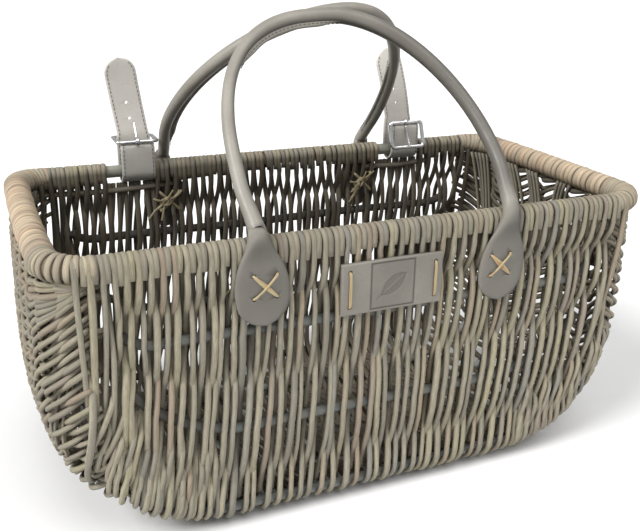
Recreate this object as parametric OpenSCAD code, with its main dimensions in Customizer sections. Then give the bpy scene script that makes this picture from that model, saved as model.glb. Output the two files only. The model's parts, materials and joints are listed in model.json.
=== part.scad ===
// Willow market basket with two rolled leather carry handles, two buckled
// leather straps round the back rim and a laced leather label plate.
// Millimetres, +Z up, +X along the length, the front faces -Y. The origin is
// the middle of the flat underside.

/* [Basket] */
// Length between the rim hoop's end centrelines
rim_length = 440; // [400:5:520]
// Depth between the rim hoop's front and back centrelines
rim_depth = 221; // [190:1:270]
// Height of the rim hoop's centreline above the underside
rim_height = 207; // [190:1:250]
// Centreline radius of the rim hoop's corners
rim_corner = 24; // [20:1:30]
// Thickness of the woven wall
wall = 8; // [7:0.5:10]
// Radius of the rounded lower ends, seen from the front
end_round = 120; // [90:5:140]
// Radius along the lower front and back edges
edge_round = 22; // [18:1:28]

/* [Rim] */
// Diameter of the bare willow hoop
hoop_d = 10; // [8:0.5:11]
// Outer diameter of the bound front and back rim
wrap_d = 15; // [13.5:0.5:17]
// Outer diameter of the bound end rims
end_wrap_d = 19; // [17:0.5:21]
// Clearance between the hoop and its binding
wrap_gap = 0.2; // [0.1:0.05:0.5]

/* [Ribs] */
// Diameter of the lengthwise ribs
rib_d = 7; // [5:0.5:8]
// Height of the middle side ribs
middle_rib_z = 78; // [60:1:95]
// Height of the upper side ribs
upper_rib_z = 150; // [130:1:155]
// Spacing of the floor ribs
floor_rib_pitch = 55; // [35:1:65]
// Clearance between a rib and the channel that it lies in
rib_gap = 0.15; // [0.1:0.05:0.5]

/* [Handles] */
// Half the distance between a handle's two legs
handle_half = 92; // [80:1:100]
// Straight length of the front handle's legs
front_leg = 78; // [60:1:90]
// Straight length of the back handle's legs
back_leg = 82; // [60:1:95]
// Lean of the front handle from upright, over the basket
front_lean = 43; // [30:1:43]
// Lean of the back handle from upright, over the basket
back_lean = 42; // [30:1:42]
// Sideways place of the back handle
back_shift = -4.5; // [-4.5:0.5:0]
// Diameter of the rolled leather
handle_d = 11; // [9:0.5:12]
// Diameter of the rope core inside the leather
core_d = 6; // [4:0.5:7]
// Thickness of the stitched seam flange
seam_t = 3; // [2:0.5:4]
// Reach of the seam flange beyond the roll
seam_reach = 4.5; // [3:0.5:6]
// Clearance round the turning neck of a handle
neck_gap = 0.4; // [0.3:0.05:0.8]

/* [Paddles] */
// Width of the round end of a paddle
paddle_w = 36; // [30:1:40]
// Width of a paddle's neck
neck_w = 12; // [10:0.5:12.5]
// Thickness of the flat leather
leather_t = 3; // [2:0.1:3.5]
// Height of the bottom edge of the front left paddle
front_left_low = 157; // [146:1:160]
// Height of the bottom edge of the front right paddle
front_right_low = 148; // [146:1:160]
// Height of the bottom edge of the back paddles
back_low = 152; // [146:1:160]
// Side of the square of lacing holes in a paddle
lace_square = 15.5; // [12:0.5:18]
// Diameter of the straw lacing
lace_d = 2.2; // [1.6:0.1:2.6]
// Clearance of the lacing in its holes, across the diameter
lace_gap = 0.8; // [0.4:0.1:1.2]

/* [Label] */
// Width of the label plate
label_w = 77; // [60:1:90]
// Height of the label plate
label_h = 37; // [30:1:40]
// Height of the middle of the label plate
label_z = 172; // [170:1:176]
// Depth of the pressed mark
press_depth = 0.8; // [0.4:0.1:1.2]

/* [Straps] */
// Width of a strap
strap_w = 28; // [24:1:28]
// Thickness of a strap
strap_t = 2.6; // [2:0.1:3]
// Place of the left strap's inner edge along the rim
left_strap_x = -107.5; // [-110:0.5:-107.5]
// Place of the right strap along the rim
right_strap_x = 130; // [120:1:138]
// Lean of the left strap's tail
left_tail_tilt = 8; // [0:1:10]
// Lean of the right strap's tail
right_tail_tilt = 14; // [0:1:15]
// Height of a tail's tip above the rim hoop
tail_rise = 92; // [80:1:110]
// Radius inside the loop, round the hoop
loop_r = 7; // [6.5:0.1:8]
// Height of the buckle's pivot bar above the rim hoop
buckle_rise = 25.5; // [24:0.5:34]
// Diameter of the buckle's wire
buckle_d = 3; // [2.6:0.1:3.2]
// Distance between the buckle's two bars
buckle_depth = 23; // [21:0.5:26]
// Angle of the left buckle frame, from level towards the back
left_frame_turn = 0; // [-5:1:5]
// Angle of the right buckle frame, from level towards the back
right_frame_turn = 250; // [245:1:255]
// Angle of the left prong, from level towards the back
left_prong_turn = 55; // [52:1:80]
// Diameter of a prong
prong_d = 2.4; // [2:0.1:2.6]
// Clearance between the pivot bar and what turns on it
pivot_gap = 0.15; // [0.1:0.05:0.3]

/* [Hidden] */

$fn = 48;
cut = 1;

hoop_x = rim_length / 2;
hoop_y = rim_depth / 2;
straight_x = hoop_x - rim_corner;
straight_y = hoop_y - rim_corner;

// The woven wall is flush with the outside of the bindings.
wall_x = hoop_x + end_wrap_d / 2;
wall_y = hoop_y + wrap_d / 2;
plan_round = rim_corner + (wrap_d + end_wrap_d) / 4;
side_top = rim_height - wrap_d / 2;
end_top = rim_height - end_wrap_d / 2;
flat_x = wall_x - end_round;
flat_y = wall_y - edge_round;

// Ribs lie half in channels on the inner face of the wall.
inner_x = wall_x - wall;
inner_y = wall_y - wall;
rib_top = end_top - 0.5;
rib_side_y = inner_y - 0.5;
edge_in = (edge_round - wall) * (1 - cos(45));
lower_rib_y = inner_y - edge_in;
lower_rib_z = wall + edge_in;
corner_in = plan_round - wall;
lower_rib_x = wall_x - plan_round + sqrt(pow(corner_in, 2) - pow(corner_in - edge_in, 2));
lower_rib_round = end_round - wall - edge_in;
middle_rib_x = straight_x + 4;
middle_rib_round = 105;
upper_rib_x = middle_rib_x - rib_d - 4;
upper_rib_round = 30;

// Handles turn about a line beside the top of the rim.
neck_r = handle_d / 2 + 0.5;
neck_l = neck_w + 1;
neck_sink = 0.5;
neck_rise = 1.5;
hinge_y = wall_y + handle_d / 2 - neck_sink;
hinge_z = rim_height + handle_d / 2 + neck_rise;
paddle_y = wall_y + 0.1;
paddle_face = paddle_y + leather_t;
flare_h = 26;
lace_hole_d = lace_d + lace_gap;
lace_lift = 0.5;
straw_t = 1.4;
core_foot = 10;
core_fit = 0.2;

// Places of the paddles along the rim, with the height of each one's bottom edge.
front_places = [
    [-handle_half + 2, front_left_low],
    [handle_half - 4, front_right_low]
];
back_places = [
    [back_shift - handle_half, back_low],
    [back_shift + handle_half, back_low]
];
function lace_z(low) = low + paddle_w / 2 + 9;

// Place of the label plate and its lacing holes.
label_x = 2;
label_inset = 6;
label_hole_x = label_w / 2 - label_inset;
label_hole_z = label_h / 2 - label_inset;

// Straps hang on the bare hoop; the binding and the wall leave room. The left
// strap grows away from the back handle.
left_strap_at = left_strap_x - strap_w / 2;
strap_room = 2;
bare_left = 12;
strap_wrap_gap = 1.5;
strap_cut_half = strap_w / 2 + strap_room;
strap_cut_z = rim_height - loop_r - strap_t - 3.4;
gap_left = [left_strap_at - strap_cut_half - bare_left, left_strap_at + strap_w / 2 + strap_wrap_gap];
gap_right = [right_strap_x - strap_cut_half - bare_left, right_strap_x + strap_cut_half];
loop_out = loop_r + strap_t;
bar_y = hoop_y - loop_r - strap_t / 2;
bar_z = rim_height + buckle_rise;
fold_r = buckle_d / 2 + pivot_gap + strap_t;
frame_gap = 0.9;
frame_half = strap_w / 2 + frame_gap + buckle_d / 2;
tail_top = rim_height + tail_rise;
tail_w = strap_w - 2;
tail_base = bar_z + 3.5;
slot_w = 5.2;
hub_w = 4;
hub_t = 1.6;
hole_d = 3.4;
tail_holes = [13, 26];
tail_lap = 6;
prong_l = buckle_depth - 1;
// The right prong rests on the far bar.
rest_offset = (buckle_d + prong_d) / 2 + 0.3;
right_prong_turn = right_frame_turn - asin(rest_offset / buckle_depth);

willow = [0.66, 0.62, 0.53];
willow_dark = [0.47, 0.46, 0.42];
cane = [0.78, 0.69, 0.57];
rib_grey = [0.44, 0.47, 0.47];
hide = [0.60, 0.58, 0.55];
straw = [0.80, 0.72, 0.48];
nickel = [0.80, 0.80, 0.82];
rope = [0.85, 0.82, 0.75];

// ---- shared shapes ----

// Outline with straight sides, an open top and round lower corners.
module tub_outline(half, low, high, r) {
    for (s = [-1, 1])
        translate([s * (half - r), low + r])
            circle(r, $fn = 96);
    translate([-(half - r), low])
        square([2 * (half - r), high - low]);
    translate([-half, low + r])
        square([2 * half, high - low - r]);
}

module round_rect(half_x, half_y, r) {
    for (sx = [-1, 1], sy = [-1, 1])
        translate([sx * (half_x - r), sy * (half_y - r)])
            circle(r);
    square([2 * (half_x - r), 2 * half_y], center = true);
    square([2 * half_x, 2 * (half_y - r)], center = true);
}

// The basket's outer form, drawn in by inset on every wall.
module basket_form(inset, high) {
    intersection() {
        linear_extrude(high)
            round_rect(wall_x - inset, wall_y - inset, plan_round - inset);
        rotate([90, 0, 0])
            linear_extrude(2 * wall_y + 2, center = true)
                tub_outline(wall_x - inset, inset, high, end_round - inset);
        rotate([90, 0, 90])
            linear_extrude(2 * wall_x + 2, center = true)
                tub_outline(wall_y - inset, inset, high, edge_round - inset);
    }
}

module woven_shell() {
    difference() {
        basket_form(0, side_top);
        basket_form(wall, side_top + cut);
        for (s = [-1, 1])
            translate([s * (straight_x + wall_x) / 2, 0, end_top + 10])
                cube([wall_x - straight_x, 2 * wall_y + 2, 20], center = true);
    }
}

// Rod along X, centred.
module rod_x(d, l) {
    rotate([0, 90, 0])
        cylinder(d = d, h = l, center = true);
}

// Rod along Y, centred.
module rod_y(d, l) {
    rotate([90, 0, 0])
        cylinder(d = d, h = l, center = true);
}

module rim_corner_rod(sx, sy, d) {
    mirror([sx < 0 ? 1 : 0, 0, 0])
        mirror([0, sy < 0 ? 1 : 0, 0])
            translate([straight_x, straight_y, rim_height])
                rotate_extrude(angle = 90)
                    translate([rim_corner, 0])
                        circle(d = d, $fn = 32);
}

module rim_end_rod(sx, d) {
    translate([sx * hoop_x, 0, rim_height])
        rod_y(d, 2 * straight_y);
    for (sy = [-1, 1])
        rim_corner_rod(sx, sy, d);
}

// A rib in a plane across Y: level along the bottom, rising at both ends.
module rib_rod(y, low, half, r, d) {
    translate([0, y, low])
        rod_x(d, 2 * (half - r));
    for (s = [-1, 1])
        mirror([s < 0 ? 1 : 0, 0, 0]) {
            translate([half - r, y, low + r])
                rotate([90, 0, 0])
                    rotate([0, 0, -90])
                        rotate_extrude(angle = 90)
                            translate([r, 0])
                                circle(d = d, $fn = 32);
            translate([half, y, low + r])
                cylinder(d = d, h = rib_top - low - r);
        }
}

module rib_upper(side, d = rib_d) {
    rib_rod(side * rib_side_y, upper_rib_z, upper_rib_x, upper_rib_round, d);
}

module rib_middle(side, d = rib_d) {
    rib_rod(side * rib_side_y, middle_rib_z, middle_rib_x, middle_rib_round, d);
}

module rib_lower(side, d = rib_d) {
    rib_rod(side * lower_rib_y, lower_rib_z, lower_rib_x, lower_rib_round, d);
}

module rib_floor(place, d = rib_d) {
    rib_rod(place * floor_rib_pitch, wall, inner_x, end_round - wall, d);
}

module side_channels(side) {
    channel_d = rib_d + 2 * rib_gap;
    rib_upper(side, channel_d);
    rib_middle(side, channel_d);
    rib_lower(side, channel_d);
}

module floor_channels() {
    for (place = [-1, 0, 1])
        rib_floor(place, rib_d + 2 * rib_gap);
    for (side = [-1, 1])
        rib_lower(side, rib_d + 2 * rib_gap);
}

// ---- rim ----

module rim_hoop() {
    color(rib_grey) {
        for (sy = [-1, 1])
            translate([0, sy * hoop_y, rim_height])
                rod_x(hoop_d, 2 * straight_x);
        for (sx = [-1, 1])
            rim_end_rod(sx, hoop_d);
    }
}

// Binding round the hoop from x0 to x1 on the front (-1) or back (1).
module side_binding(side, x0, x1) {
    color(cane)
        translate([(x0 + x1) / 2, side * hoop_y, rim_height])
            difference() {
                rod_x(wrap_d, x1 - x0);
                rod_x(hoop_d + 2 * wrap_gap, x1 - x0 + 2 * cut);
            }
}

module end_binding(sx) {
    color(cane)
        difference() {
            rim_end_rod(sx, end_wrap_d);
            rim_end_rod(sx, hoop_d + 2 * wrap_gap);
        }
}

// ---- woven walls ----

module lace_holes(x, z, side) {
    for (dx = [-1, 1], dz = [-1, 1])
        translate([x + dx * lace_square / 2, side * wall_y, z + dz * lace_square / 2])
            rod_y(lace_hole_d, 4 * wall);
}

module label_holes() {
    for (dx = [-1, 1], dz = [-1, 1])
        translate([label_x + dx * label_hole_x, -wall_y, label_z + dz * label_hole_z])
            rod_y(lace_hole_d, 4 * wall);
}

module strap_windows() {
    for (x = [left_strap_at, right_strap_x])
        translate([x, hoop_y, strap_cut_z + 20])
            cube([2 * strap_cut_half, 40, 40], center = true);
}

module side_weave(side, places) {
    color(willow)
        difference() {
            woven_shell();
            translate([-wall_x - cut, side > 0 ? -wall_y - cut : -flat_y, -cut])
                cube([2 * wall_x + 2 * cut, wall_y + cut + flat_y, rim_height]);
            side_channels(side);
            for (p = places)
                lace_holes(p[0], lace_z(p[1]), side);
            if (side < 0)
                label_holes();
            if (side > 0)
                strap_windows();
        }
}

module weave_floor() {
    color(willow_dark)
        difference() {
            intersection() {
                woven_shell();
                translate([-flat_x, -flat_y, -cut])
                    cube([2 * flat_x, 2 * flat_y, end_round]);
            }
            floor_channels();
        }
}

module end_weave(sx) {
    color(willow)
        difference() {
            intersection() {
                woven_shell();
                translate([sx > 0 ? flat_x : -wall_x - cut, -flat_y, -cut])
                    cube([wall_x + cut - flat_x, 2 * flat_y, rim_height + cut]);
            }
            floor_channels();
        }
}

// ---- handles ----

// Moves a handle from its own upright plane to its lean on the rim.
module on_hinge(side, shift, lean) {
    translate([shift, side * hinge_y, hinge_z])
        rotate([side * lean, 0, 0])
            children();
}

// Legs and half-round top of a handle, in the plane y = 0.
module arch(leg, foot, d) {
    for (s = [-1, 1])
        translate([s * handle_half, 0, foot])
            cylinder(d = d, h = leg - foot);
    translate([0, 0, leg])
        rotate([90, 0, 0])
            rotate_extrude(angle = 180, $fn = 96)
                translate([handle_half, 0])
                    circle(d = d, $fn = 32);
}

module handle_leather(side, shift, lean, leg) {
    flange_in = handle_half - handle_d / 2 - seam_reach;
    color(hide)
        on_hinge(side, shift, lean)
            difference() {
                union() {
                    arch(leg, 0, handle_d);
                    for (s = [-1, 1])
                        translate([s * handle_half, 0, 0])
                            rod_x(2 * neck_r, neck_l);
                    translate([0, 0, leg])
                        rotate([90, 0, 0])
                            rotate_extrude(angle = 180, $fn = 96)
                                translate([flange_in, -seam_t / 2])
                                    square([seam_reach + handle_d / 2, seam_t]);
                    for (s = [-1, 1])
                        translate([s * (flange_in + handle_half) / 2, 0, leg * 3 / 4])
                            cube([handle_half - flange_in, seam_t, leg / 2], center = true);
                }
                arch(leg, core_foot, core_d + 2 * core_fit);
            }
}

module handle_core(side, shift, lean, leg) {
    color(rope)
        on_hinge(side, shift, lean)
            arch(leg, core_foot + core_fit, core_d);
}

// Flat leather end of a handle, laced to the wall below the rim.
module paddle(side, shift, x, low) {
    centre = low + paddle_w / 2;
    color(hide)
        difference() {
            translate([x, side * (paddle_y + leather_t / 2), 0])
                rotate([90, 0, 0])
                    linear_extrude(leather_t, center = true) {
                        translate([0, centre])
                            circle(d = paddle_w);
                        translate([-neck_w / 2, centre])
                            square([neck_w, hinge_z - neck_r / 2 - centre]);
                        polygon([
                            [-paddle_w / 2, centre], [paddle_w / 2, centre],
                            [neck_w / 2, centre + flare_h], [-neck_w / 2, centre + flare_h]
                        ]);
                    }
            translate([x, side * hinge_y, hinge_z])
                rod_x(2 * (neck_r + neck_gap), 3 * paddle_w);
            lace_holes(x, lace_z(low), side);
        }
}

// Flat straw cross over a paddle, through the wall and crossed again inside.
module cross_lacing(side, x, low) {
    half = lace_square / 2;
    out_y = paddle_face + straw_t / 2 + lace_lift;
    in_y = inner_y - straw_t / 2 - lace_lift;
    color(straw)
        translate([x, 0, lace_z(low)]) {
            for (y = [out_y, in_y], turn = [-1, 1])
                translate([0, side * (y + (y == out_y ? 1 : -1) * turn * straw_t / 4), 0])
                    rotate([0, 45 * turn, 0])
                        cube([2 * half * sqrt(2) + lace_d, straw_t, lace_d + 0.4], center = true);
            for (dx = [-half, half], dz = [-half, half])
                translate([dx, side * (out_y + in_y) / 2, dz])
                    rod_y(lace_d, out_y - in_y);
        }
}

// ---- label ----

module label_plate() {
    face = leather_t / 2;
    mark_h = label_h - 3;
    color(hide)
        difference() {
            translate([label_x, -(paddle_y + face), label_z])
                rotate([90, 0, 0])
                    difference() {
                        linear_extrude(leather_t, center = true)
                            round_rect(label_w / 2, label_h / 2, 3);
                        translate([0, 0, face - press_depth])
                            linear_extrude(press_depth + cut)
                                difference() {
                                    square([mark_h - 1, mark_h], center = true);
                                    square([mark_h - 3, mark_h - 2], center = true);
                                }
                        translate([0, 0, face - press_depth])
                            linear_extrude(press_depth + cut)
                                leaf_mark();
                    }
            label_holes();
        }
}

// A plain leaf: two arcs and a stem.
module leaf_mark() {
    rotate(-35) {
        intersection() {
            translate([0, -6])
                circle(r = 12);
            translate([0, 6])
                circle(r = 12);
        }
        translate([-14, -0.6])
            square([5, 1.2]);
    }
}

module label_lacing(sx) {
    out_y = paddle_face + lace_d / 2 + lace_lift;
    in_y = inner_y - lace_d / 2 - lace_lift;
    color(straw)
        translate([label_x + sx * label_hole_x, 0, label_z]) {
            for (y = [out_y, in_y])
                translate([0, -y, 0])
                    cylinder(d = lace_d, h = 2 * label_hole_z, center = true);
            for (dz = [-label_hole_z, label_hole_z]) {
                translate([0, -(out_y + in_y) / 2, dz])
                    rod_y(lace_d, out_y - in_y);
                for (y = [out_y, in_y])
                    translate([0, -y, dz])
                        sphere(d = lace_d, $fn = 24);
            }
        }
}

// ---- straps ----

// Extrudes a (y, z) outline along X.
module along_x(w) {
    rotate([90, 0, 90])
        linear_extrude(w, center = true)
            children();
}

module strap_outline() {
    difference() {
        union() {
            translate([hoop_y, rim_height])
                intersection() {
                    circle(loop_out);
                    translate([-loop_out, -loop_out])
                        square([2 * loop_out, loop_out]);
                }
            translate([hoop_y - loop_out, rim_height])
                square([strap_t, buckle_rise - buckle_d / 2 - pivot_gap]);
            translate([hoop_y + loop_r, rim_height])
                square([strap_t, tail_base - rim_height]);
            translate([bar_y, bar_z])
                circle(fold_r);
        }
        translate([hoop_y, rim_height])
            circle(loop_r);
        translate([bar_y, bar_z])
            circle(buckle_d / 2 + pivot_gap);
    }
}

module tail_outline(holes) {
    tip = tail_w / 2;
    difference() {
        union() {
            translate([-tip, -tail_lap])
                square([tail_w, tail_top - tail_base - tip + tail_lap]);
            translate([0, tail_top - tail_base - tip])
                circle(tip);
        }
        for (z = holes)
            translate([0, z])
                circle(d = hole_d);
    }
}

module strap(x, tilt) {
    color(hide)
        translate([x, 0, 0]) {
            difference() {
                along_x(strap_w)
                    strap_outline();
                translate([-slot_w / 2, bar_y - fold_r - cut, bar_z - 7.5])
                    cube([slot_w, 2 * fold_r + 2 * cut, 20]);
            }
            translate([0, hoop_y + loop_r + strap_t, tail_base - 1])
                rotate([0, -tilt, 0])
                    rotate([90, 0, 0])
                        linear_extrude(strap_t)
                            tail_outline(tail_holes);
        }
}

// Places children at a strap's pivot bar and turns them about it.
module on_bar(x, turn) {
    translate([x, bar_y, bar_z])
        rotate([turn, 0, 0])
            children();
}

module buckle_frame(x, turn) {
    color(nickel)
        on_bar(x, turn) {
            for (y = [0, buckle_depth])
                translate([0, y, 0])
                    rod_x(buckle_d, 2 * frame_half);
            for (s = [-1, 1]) {
                translate([s * frame_half, buckle_depth / 2, 0])
                    rod_y(buckle_d, buckle_depth);
                for (y = [0, buckle_depth])
                    translate([s * frame_half, y, 0])
                        sphere(d = buckle_d, $fn = 24);
            }
        }
}

module buckle_prong(x, turn) {
    hub_r = buckle_d / 2 + pivot_gap + hub_t;
    color(nickel)
        on_bar(x, turn)
            difference() {
                union() {
                    rod_x(2 * hub_r, hub_w);
                    translate([0, prong_l / 2, 0])
                        rod_y(prong_d, prong_l);
                    translate([0, prong_l, 0])
                        sphere(d = prong_d, $fn = 24);
                }
                rod_x(buckle_d + 2 * pivot_gap, hub_w + 2 * cut);
            }
}

// ---- the parts ----

rim_hoop();
side_binding(-1, -straight_x, straight_x);  // rim_binding_front
side_binding(1, -straight_x, gap_left[0]);  // rim_binding_back_left
side_binding(1, gap_left[1], gap_right[0]);  // rim_binding_back_middle
side_binding(1, gap_right[1], straight_x);  // rim_binding_back_right
end_binding(-1);  // rim_binding_left_end
end_binding(1);  // rim_binding_right_end
side_weave(-1, front_places);  // weave_front
side_weave(1, back_places);  // weave_back
weave_floor();
end_weave(-1);  // weave_left_end
end_weave(1);  // weave_right_end
color(rib_grey) rib_upper(-1);  // rib_front_upper
color(rib_grey) rib_middle(-1);  // rib_front_middle
color(rib_grey) rib_lower(-1);  // rib_front_lower
color(rib_grey) rib_upper(1);  // rib_back_upper
color(rib_grey) rib_middle(1);  // rib_back_middle
color(rib_grey) rib_lower(1);  // rib_back_lower
color(rib_grey) rib_floor(-1);  // rib_floor_front
color(rib_grey) rib_floor(0);  // rib_floor_middle
color(rib_grey) rib_floor(1);  // rib_floor_back
handle_leather(-1, 0, front_lean, front_leg);  // front_handle_leather
handle_core(-1, 0, front_lean, front_leg);  // front_handle_core
handle_leather(1, back_shift, back_lean, back_leg);  // back_handle_leather
handle_core(1, back_shift, back_lean, back_leg);  // back_handle_core
paddle(-1, 0, front_places[0][0], front_places[0][1]);  // front_paddle_left
paddle(-1, 0, front_places[1][0], front_places[1][1]);  // front_paddle_right
paddle(1, 0, back_places[0][0], back_places[0][1]);  // back_paddle_left
paddle(1, 0, back_places[1][0], back_places[1][1]);  // back_paddle_right
cross_lacing(-1, front_places[0][0], front_places[0][1]);  // front_lacing_left
cross_lacing(-1, front_places[1][0], front_places[1][1]);  // front_lacing_right
cross_lacing(1, back_places[0][0], back_places[0][1]);  // back_lacing_left
cross_lacing(1, back_places[1][0], back_places[1][1]);  // back_lacing_right
label_plate();
label_lacing(-1);  // label_lacing_left
label_lacing(1);  // label_lacing_right
strap(left_strap_at, left_tail_tilt);  // left_strap
buckle_frame(left_strap_at, left_frame_turn);  // left_buckle_frame
buckle_prong(left_strap_at, left_prong_turn);  // left_buckle_prong
strap(right_strap_x, right_tail_tilt);  // right_strap
buckle_frame(right_strap_x, right_frame_turn);  // right_buckle_frame
buckle_prong(right_strap_x, right_prong_turn);  // right_buckle_prong
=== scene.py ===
"""Willow market basket with rolled leather handles, buckled straps and a laced label plate.

Works in millimetres until a mesh is made. The basket stands on z = 0 and its front faces -Y.
"""
import json
import math

import bmesh
import bpy
import numpy as np
from mathutils import Matrix, Vector


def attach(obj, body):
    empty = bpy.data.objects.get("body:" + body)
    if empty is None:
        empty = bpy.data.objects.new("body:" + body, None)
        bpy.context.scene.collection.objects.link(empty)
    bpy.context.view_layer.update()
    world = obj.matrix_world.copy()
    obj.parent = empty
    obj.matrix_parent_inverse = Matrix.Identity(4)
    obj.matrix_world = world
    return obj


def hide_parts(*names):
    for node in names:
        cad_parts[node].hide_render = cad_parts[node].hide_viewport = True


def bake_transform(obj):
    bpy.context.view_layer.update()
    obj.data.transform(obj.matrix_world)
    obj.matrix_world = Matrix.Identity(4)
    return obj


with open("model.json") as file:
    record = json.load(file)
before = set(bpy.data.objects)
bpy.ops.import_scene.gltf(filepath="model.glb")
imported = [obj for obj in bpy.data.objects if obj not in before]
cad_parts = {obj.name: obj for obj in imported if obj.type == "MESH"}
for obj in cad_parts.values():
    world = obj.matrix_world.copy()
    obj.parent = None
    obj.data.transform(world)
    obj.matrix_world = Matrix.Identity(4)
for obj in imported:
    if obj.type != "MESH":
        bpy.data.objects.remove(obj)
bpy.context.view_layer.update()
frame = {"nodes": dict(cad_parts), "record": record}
rng = np.random.default_rng(20)
scene = bpy.context.scene

# ---- sizes shared with the CAD model, mm ----
HOOP_X, HOOP_Y, RIM_Z, CORNER = 220.0, 110.5, 207.0, 24.0
STRAIGHT_X, STRAIGHT_Y = HOOP_X - CORNER, HOOP_Y - CORNER
RIB_R = 3.5
WALL_Y = 118.0
END_ROUND, FLAT_X = 120.0, 109.5
MID_X, MID_Y, MID_R, MID_CORNER = 221.5, 109.5, 112.0, 24.0
FLOOR_MID = 8.0
EDGE_R = 16.0
HINGE_Y, HINGE_Z = 123.0, 214.0
BACK_GAPS = ((-149.5, -106.0), (102.0, 146.0))


# ---- small helpers ----

def body_with(node):
    """The CAD body that a node belongs to."""
    for body, members in frame["record"]["behaviour"]["bodies"].items():
        if node in members:
            return body
    raise ValueError(node)


def ease(t):
    t = np.clip(t, 0.0, 1.0)
    return t * t * (3 - 2 * t)


def unit(v):
    v = np.asarray(v, float)
    return v / np.maximum(np.linalg.norm(v, axis=-1, keepdims=True), 1e-9)


def spline(keys, step):
    """Catmull-Rom curve through the keys (rows of any width; the first three are the place)."""
    k = np.asarray(keys, float)
    k = np.vstack([2 * k[0] - k[1], k, 2 * k[-1] - k[-2]])
    out = []
    for i in range(1, len(k) - 2):
        n = max(2, int(np.linalg.norm(k[i + 1, :3] - k[i, :3]) / step))
        t = np.linspace(0, 1, n, endpoint=False)[:, None]
        out.append(0.5 * (2 * k[i] + (k[i + 1] - k[i - 1]) * t
                          + (2 * k[i - 1] - 5 * k[i] + 4 * k[i + 1] - k[i + 2]) * t ** 2
                          + (3 * k[i] - k[i - 1] - 3 * k[i + 1] + k[i + 2]) * t ** 3))
    out.append(k[-2][None])
    return np.vstack(out)


class Strands:
    """Collects swept strands into one mesh with the attributes that its material reads."""

    def __init__(self):
        self.co, self.grain, self.tone, self.shade = [], [], [], []
        self.quads, self.caps, self.count = [], [], 0

    def add(self, path, half_w, half_t, across, tone=0.5, shade=0.0, sides=8, square=2.0, closed=False,
            outward=None, inner=0.0, under=0.0, edge=0.0):
        """Sweeps a section along path. half_w lies along the across direction. shade, inner, under and
        edge paint shade: all over, on the side away from outward, on the lower side and on a wrap's two
        sides."""
        path = np.asarray(path, float)
        n = len(path)
        if closed:
            tangent = unit(np.roll(path, -1, 0) - np.roll(path, 1, 0))
        else:
            tangent = unit(np.gradient(path, axis=0))
        across = np.broadcast_to(np.asarray(across, float), path.shape)
        w = unit(across - (across * tangent).sum(1, keepdims=True) * tangent)
        m = np.cross(tangent, w)
        turn = np.linspace(0, 2 * math.pi, sides, endpoint=False)
        c, s = np.cos(turn), np.sin(turn)
        power = 2.0 / square
        c = np.sign(c) * np.abs(c) ** power
        s = np.sign(s) * np.abs(s) ** power
        a = np.broadcast_to(np.asarray(half_w, float), (n,))[:, None]
        b = np.broadcast_to(np.asarray(half_t, float), (n,))[:, None]
        ring = path[:, None] + (a * c)[..., None] * w[:, None] + (b * s)[..., None] * m[:, None]
        along = np.r_[0, np.cumsum(np.linalg.norm(np.diff(path, axis=0), axis=1))]
        start = tone * 977.0
        grain = np.stack([a * c, b * s, np.broadcast_to((along * 0.12 + start)[:, None], (n, sides))], -1)
        self.co.append(ring.reshape(-1, 3))
        self.grain.append(grain.reshape(-1, 3))
        self.tone.append(np.full(n * sides, tone))
        facing = unit(c[None, :, None] * w[:, None] + s[None, :, None] * m[:, None])
        # painted shade: edge darkens a strand's two sides, under its lower side and inner the side away from
        # outward
        rim = np.outer(np.broadcast_to(np.asarray(edge, float), (n,)), np.abs(c) ** 5)
        dark = (np.broadcast_to(np.asarray(shade, float), (n,))[:, None]
                + under * ease(-facing[..., 2]) + rim)
        if outward is not None:
            away = -(facing * np.asarray(outward, float)[:, None]).sum(2)
            dark = dark + np.broadcast_to(np.asarray(inner, float), (n,))[:, None] * ease(away + 0.35)
        self.shade.append(np.clip(dark, 0, 0.9).ravel())
        rows = np.arange(n if closed else n - 1)
        k = np.arange(sides)
        i0 = self.count + (rows[:, None] * sides + k[None])
        i1 = self.count + (rows[:, None] * sides + (k[None] + 1) % sides)
        j0 = self.count + (((rows[:, None] + 1) % n) * sides + k[None])
        j1 = self.count + (((rows[:, None] + 1) % n) * sides + (k[None] + 1) % sides)
        self.quads.append(np.stack([i0, i1, j1, j0], -1).reshape(-1, 4))
        if not closed:
            self.caps.append(self.count + k[::-1])
            self.caps.append(self.count + (n - 1) * sides + k)
        self.count += n * sides

    def build(self, name, material, slot, body, replaced=()):
        co = np.vstack(self.co) * 0.001
        quads = np.vstack(self.quads)
        caps = [list(map(int, c)) for c in self.caps]
        mesh = bpy.data.meshes.new(name)
        mesh.from_pydata(co.tolist(), [], quads.tolist() + caps)
        for key, kind, values in (("tone", "FLOAT", np.concatenate(self.tone)),
                                  ("shade", "FLOAT", np.concatenate(self.shade)),
                                  ("grain", "FLOAT_VECTOR", np.vstack(self.grain))):
            layer = mesh.attributes.new(key, kind, "POINT")
            layer.data.foreach_set("vector" if kind == "FLOAT_VECTOR" else "value",
                                   values.astype(np.float32).ravel())
        mesh.polygons.foreach_set("use_smooth", [True] * len(quads) + [False] * len(caps))
        return finish_piece(name, mesh, material, body, replaced)


def finish_piece(name, mesh, material, body, replaced=()):
    mesh.update()
    obj = bpy.data.objects.new(name, mesh)
    scene.collection.objects.link(obj)
    mesh.materials.append(material)
    if body:
        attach(obj, body)
    if replaced:
        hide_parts(*replaced)
    return obj


# ---- camera, floor and light ----

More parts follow.
